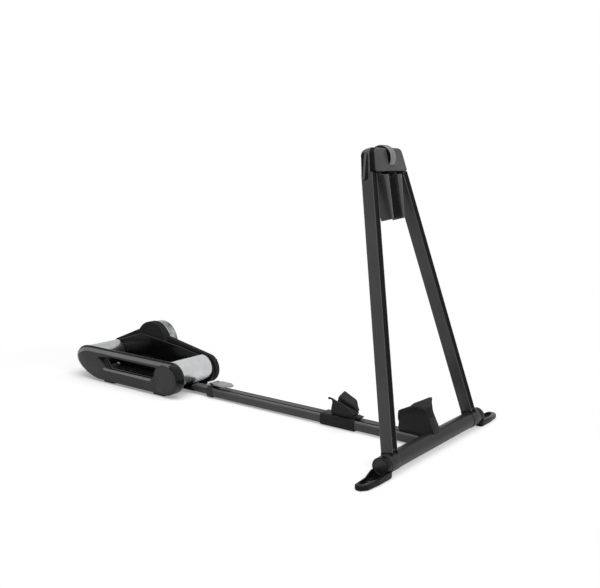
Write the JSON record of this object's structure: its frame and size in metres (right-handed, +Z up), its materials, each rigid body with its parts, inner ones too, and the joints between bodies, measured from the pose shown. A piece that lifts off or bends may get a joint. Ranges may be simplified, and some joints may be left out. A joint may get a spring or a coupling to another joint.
{
  "type": "wheel-on roller trainer",
  "caption": "Indoor bicycle trainer: a folding frame clamps the tyre over two wheel cradles, and a sliding rail carries belt-driven drums with a flywheel.",
  "frame": {"origin": "on the floor, under the middle of the trainer's bounding box", "axes": "+X towards the folding frame at the front, +Y towards the flywheel side, +Z up"},
  "size_m": [1.5284, 0.771, 0.8478],
  "materials": {
    "black_alloy": "satin black powder coat",
    "black_plastic": "fine-grained moulded black",
    "gloss_black": "polished black",
    "rubber": "matte",
    "belt_rubber": "ribbed belt",
    "silver": "turned and polished",
    "flywheel_steel": "turned",
    "grey_alloy": "cast",
    "steel": "machined",
    "board_green": "circuit board"
  },
  "bodies": {
    "front_base": {"crossbar_tube": "black_alloy", "left_end_cap": "black_alloy", "right_end_cap": "black_alloy", "left_foot": "black_plastic", "right_foot": "black_plastic", "left_foot_sole": "rubber", "right_foot_sole": "rubber", "front_rail": "black_alloy", "rail_collar": "black_plastic", "front_cradle": "black_plastic"},
    "a_frame": {"left_leg": "black_alloy", "right_leg": "black_alloy", "left_knuckle": "black_alloy", "right_knuckle": "black_alloy", "head_frame": "grey_alloy", "head_rear_shell": "black_plastic", "head_front_cover": "black_plastic", "left_arm_pin": "steel", "right_arm_pin": "steel"},
    "right_jaw": {"right_arm": "black_alloy", "right_arm_nut": "steel", "right_arm_pad": "rubber"},
    "left_jaw": {"left_arm": "black_alloy", "left_arm_nut": "steel", "left_arm_pad": "rubber"},
    "clamp_dial": {"dial_rim": "silver", "clamp_screw": "black_plastic"},
    "cradle_slider": {"cradle_sleeve": "black_plastic", "rear_cradle": "black_plastic", "latch_pin": "steel"},
    "slider_latch": {"cradle_latch": "black_plastic"},
    "rail_lever": {"cam_lever": "grey_alloy", "lever_pin": "steel"},
    "roller_unit": {"rear_rail": "black_alloy", "base_tray": "black_alloy", "right_side_frame": "black_plastic", "disc_cap": "black_plastic", "right_bearing_plate": "black_alloy", "housing_inner_cover": "gloss_black", "housing_outer_cover": "black_plastic", "left_bearing_plate": "steel", "front_right_bearing": "steel", "rear_right_bearing": "steel", "front_left_bearing": "steel", "rear_left_bearing": "steel", "flywheel_bearing": "steel", "brake_ring": "steel", "control_board": "board_green", "power_inlet": "black_plastic", "drive_belt": "belt_rubber", "left_front_pad": "rubber", "left_rear_pad": "rubber", "right_front_pad": "rubber", "right_rear_pad": "rubber"},
    "front_roller": {"front_drum": "silver", "front_axle": "steel"},
    "rear_roller": {"rear_drum": "silver", "rear_axle": "steel"},
    "flywheel_rotor": {"flywheel": "flywheel_steel", "flywheel_shaft": "steel"}
  },
  "joints": [
    {"name": "a_frame_fold", "type": "hinge", "parent": "front_base", "child": "a_frame", "pos_m": [0.73575, 0, 0.029], "axis": [0, -1, 0], "range_deg": [0, 70]},
    {"name": "right_jaw_swing", "type": "hinge", "parent": "a_frame", "child": "right_jaw", "pos_m": [0.55746, -0.04, 0.78321], "axis": [0.9732, 0, 0.23], "range_deg": [-4, 5]},
    {"name": "left_jaw_swing", "type": "hinge", "parent": "a_frame", "child": "left_jaw", "pos_m": [0.55746, 0.04, 0.78321], "axis": [0.9732, 0, 0.23], "range_deg": [-5, 4]},
    {"name": "clamp_dial_turn", "type": "hinge", "parent": "a_frame", "child": "clamp_dial", "pos_m": [0.55297, 0, 0.81092], "axis": [0, 1, 0], "range_deg": [-290, 362]},
    {"name": "cradle_slide", "type": "slide", "parent": "front_base", "child": "cradle_slider", "axis": [1, 0, 0], "range_m": [-0.1, 0.06]},
    {"name": "cradle_latch_press", "type": "hinge", "parent": "cradle_slider", "child": "slider_latch", "pos_m": [0.47675, 0, 0.0435], "axis": [0, 1, 0], "range_deg": [0, 12], "stiffness_Nm_per_rad": 0.03, "springref_deg": -5.73},
    {"name": "cam_lever_lift", "type": "hinge", "parent": "front_base", "child": "rail_lever", "pos_m": [-0.11625, 0, 0.046], "axis": [0, -1, 0], "range_deg": [0, 100]},
    {"name": "roller_unit_slide", "type": "slide", "parent": "front_base", "child": "roller_unit", "axis": [1, 0, 0], "range_m": [-0.1, 0.06]},
    {"name": "flywheel_spin", "type": "hinge", "parent": "roller_unit", "child": "flywheel_rotor", "pos_m": [-0.52225, 0, 0.122], "axis": [0, 1, 0], "continuous": true},
    {"name": "front_drum_spin", "type": "hinge", "parent": "roller_unit", "child": "front_roller", "pos_m": [-0.24425, 0, 0.0705], "axis": [0, 1, 0], "continuous": true},
    {"name": "rear_drum_spin", "type": "hinge", "parent": "roller_unit", "child": "rear_roller", "pos_m": [-0.71375, 0, 0.064], "axis": [0, 1, 0], "continuous": true}
  ],
  "couplings": [
    {"joint": "left_jaw_swing", "follows": "right_jaw_swing", "ratio": -1},
    {"joint": "clamp_dial_turn", "follows": "right_jaw_swing", "ratio": 72},
    {"joint": "front_drum_spin", "follows": "flywheel_spin", "ratio": 0.66667},
    {"joint": "rear_drum_spin", "follows": "flywheel_spin", "ratio": 0.66667}
  ]
}
